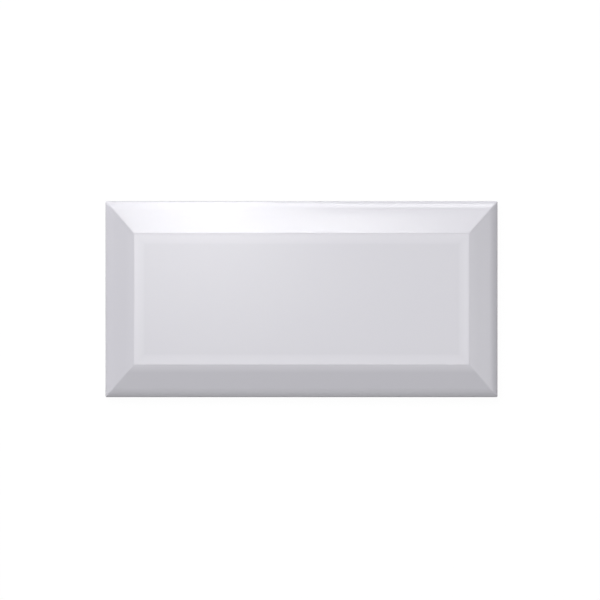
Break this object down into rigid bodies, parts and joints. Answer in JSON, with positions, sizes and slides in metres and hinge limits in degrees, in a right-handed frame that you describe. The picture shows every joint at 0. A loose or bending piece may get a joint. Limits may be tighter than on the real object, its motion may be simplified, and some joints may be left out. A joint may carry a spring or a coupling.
{
  "type": "bevelled subway wall tile",
  "caption": "Rectangular glazed ceramic wall tile with a flat raised face, sloping bevels mitred at the corners, rounded edges and a ribbed back that keys into adhesive.",
  "frame": {"origin": "middle of the back, on the plane of the key ribs", "axes": "+Z out of the glazed face, +X along the tile's length, +Y across its width"},
  "size_m": [0.2, 0.1, 0.008],
  "materials": {
    "white_glaze": "glossy cool-white glaze on the face, bevels and rounded edges, bare biscuit on the back"
  },
  "bodies": {
    "root": {"subway_tile": "white_glaze"}
  },
  "joints": []
}
